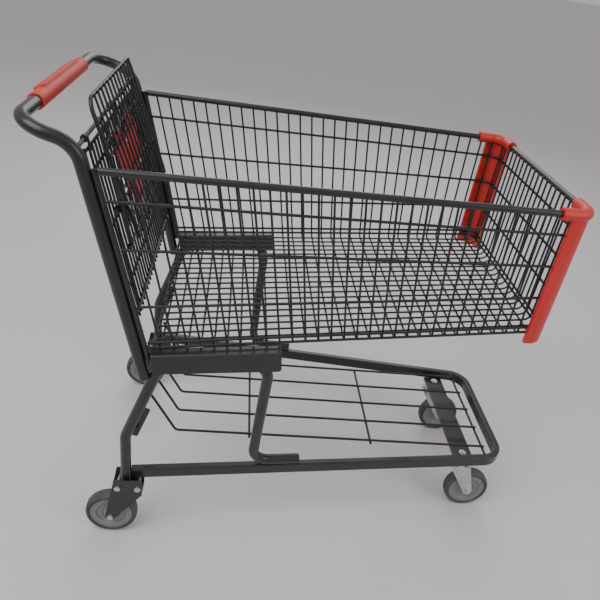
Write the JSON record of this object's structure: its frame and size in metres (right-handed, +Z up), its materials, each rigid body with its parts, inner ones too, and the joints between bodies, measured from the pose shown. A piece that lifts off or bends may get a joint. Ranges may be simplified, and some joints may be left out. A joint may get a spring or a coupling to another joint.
{
  "type": "shopping trolley",
  "caption": "Nesting wire shopping trolley with a tapered basket, swing-up rear gate, folding child seat, lower rack and swivel front casters.",
  "frame": {"origin": "on the floor under the middle of the bounding box", "axes": "+X to the nose, +Y to the left side, +Z up; symmetric about Y = 0"},
  "size_m": [1.18, 0.622, 1.0489],
  "materials": {
    "frame_paint": "semi-gloss dark powder coat",
    "red_plastic": "moulded, light satin",
    "zinc": "bright zinc plate",
    "wheel_core": "moulded grey",
    "wheel_tread": "matte"
  },
  "bodies": {
    "chassis": {"base_rail": "frame_paint", "basket_hoops": "frame_paint", "basket_rim": "frame_paint", "caster_plate": "frame_paint", "chassis_tube_left": "frame_paint", "chassis_tube_right": "frame_paint", "corner_bumper_left": "red_plastic", "corner_bumper_right": "red_plastic", "floor_cross_wires": "frame_paint", "floor_long_wires": "frame_paint", "front_caster_head_left": "zinc", "front_caster_head_right": "zinc", "front_wires": "frame_paint", "gate_rod": "frame_paint", "gate_stops": "frame_paint", "handle_frame": "frame_paint", "handle_grip": "red_plastic", "kingpin_bolts": "zinc", "leg_brackets": "frame_paint", "rack_cross_wires": "frame_paint", "rack_long_wires": "frame_paint", "rear_axles": "zinc", "rear_bars": "frame_paint", "rear_cross_bolts": "zinc", "rear_floor_bar": "frame_paint", "rear_fork_left": "frame_paint", "rear_fork_right": "frame_paint", "side_channel_left": "frame_paint", "side_channel_right": "frame_paint", "side_wires_left": "frame_paint", "side_wires_right": "frame_paint"},
    "gate": {"gate_frame": "frame_paint", "gate_uprights": "frame_paint", "gate_bars": "frame_paint", "gate_loops": "frame_paint"},
    "seat": {"seat_frame": "frame_paint", "seat_plate": "red_plastic", "seat_wires": "frame_paint"},
    "seat_back": {"back_frame": "frame_paint", "back_wires": "frame_paint", "back_bars": "frame_paint", "back_loops": "frame_paint"},
    "seat_arms": {"seat_arms": "frame_paint"},
    "front_right_swivel": {"front_fork_right": "zinc", "front_axle_right": "zinc"},
    "front_left_swivel": {"front_fork_left": "zinc", "front_axle_left": "zinc"},
    "front_right_wheel": {"front_right_core": "wheel_core", "front_right_tread": "wheel_tread", "front_right_bush": "zinc"},
    "front_left_wheel": {"front_left_core": "wheel_core", "front_left_tread": "wheel_tread", "front_left_bush": "zinc"},
    "rear_right_wheel": {"rear_right_core": "wheel_core", "rear_right_tread": "wheel_tread", "rear_right_bush": "zinc"},
    "rear_left_wheel": {"rear_left_core": "wheel_core", "rear_left_tread": "wheel_tread", "rear_left_bush": "zinc"}
  },
  "joints": [
    {"name": "gate_swing", "type": "hinge", "parent": "chassis", "child": "gate", "pos_m": [-0.47368, 0, 0.984], "axis": [0, -1, 0], "range_deg": [0, 70]},
    {"name": "seat_fold", "type": "hinge", "parent": "gate", "child": "seat", "pos_m": [-0.4055, 0, 0.74629], "axis": [0, 1, 0], "range_deg": [0, 90]},
    {"name": "seat_back_pivot", "type": "hinge", "parent": "seat", "child": "seat_back", "pos_m": [-0.4507, 0, 0.95652], "axis": [0, 1, 0], "range_deg": [-90, 0]},
    {"name": "seat_arm_pivot", "type": "hinge", "parent": "gate", "child": "seat_arms", "pos_m": [-0.37878, 0, 0.63238], "axis": [0, 1, 0], "range_deg": [0, 90]},
    {"name": "front_right_swivel", "type": "hinge", "parent": "chassis", "child": "front_right_swivel", "pos_m": [0.482, -0.154, 0.153], "axis": [0, 0, 1], "continuous": true},
    {"name": "front_right_wheel_spin", "type": "hinge", "parent": "front_right_swivel", "child": "front_right_wheel", "pos_m": [0.527, -0.154, 0.0625], "axis": [0, 1, 0], "continuous": true},
    {"name": "rear_right_wheel_spin", "type": "hinge", "parent": "chassis", "child": "rear_right_wheel", "pos_m": [-0.438, -0.284, 0.0625], "axis": [0, 1, 0], "continuous": true},
    {"name": "front_left_swivel", "type": "hinge", "parent": "chassis", "child": "front_left_swivel", "pos_m": [0.482, 0.154, 0.153], "axis": [0, 0, 1], "continuous": true},
    {"name": "front_left_wheel_spin", "type": "hinge", "parent": "front_left_swivel", "child": "front_left_wheel", "pos_m": [0.527, 0.154, 0.0625], "axis": [0, 1, 0], "continuous": true},
    {"name": "rear_left_wheel_spin", "type": "hinge", "parent": "chassis", "child": "rear_left_wheel", "pos_m": [-0.438, 0.284, 0.0625], "axis": [0, 1, 0], "continuous": true}
  ],
  "couplings": [
    {"joint": "seat_back_pivot", "follows": "seat_fold", "ratio": -1},
    {"joint": "seat_arm_pivot", "follows": "seat_fold", "ratio": 1}
  ]
}
